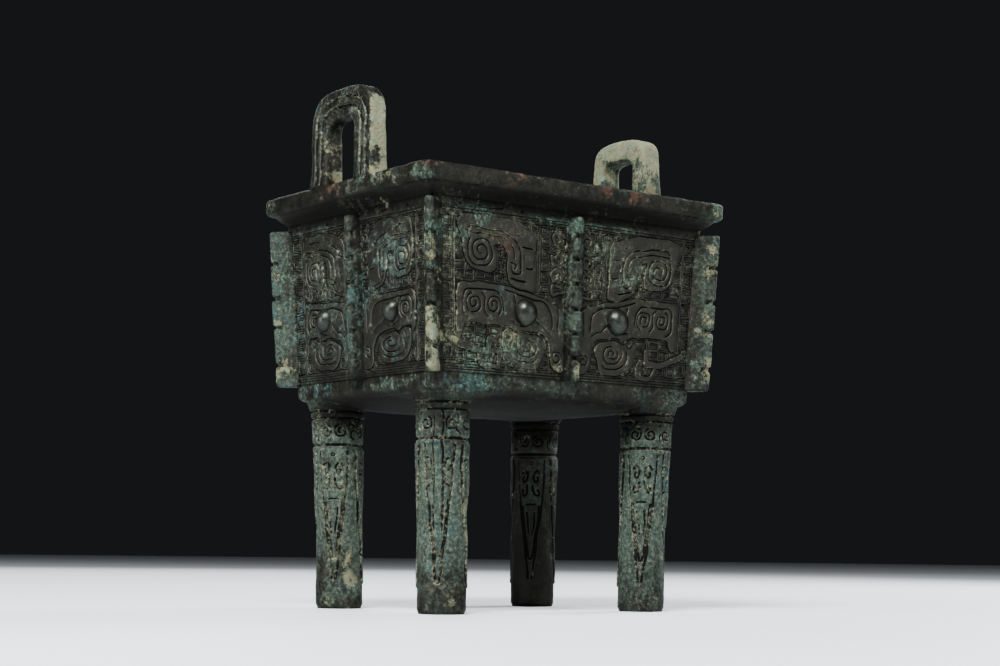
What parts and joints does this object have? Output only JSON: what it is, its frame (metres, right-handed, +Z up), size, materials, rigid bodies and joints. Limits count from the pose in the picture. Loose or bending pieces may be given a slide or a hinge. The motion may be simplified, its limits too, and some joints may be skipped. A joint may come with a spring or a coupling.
{
  "type": "square bronze ding",
  "caption": "Ancient square four-legged bronze cauldron with upright loop handles, notched flanges and animal-mask relief.",
  "frame": {"origin": "on the ground, under the middle of the vessel", "axes": "+Z up, X along the long side, the flanged front faces -Y; the taller, wider handle stands at -X"},
  "size_m": [0.164, 0.1278, 0.222],
  "materials": {
    "bronze": "cast bronze with dark brown, green and pale buff patina"
  },
  "bodies": {
    "root": {"square_ding": "bronze"}
  },
  "joints": []
}
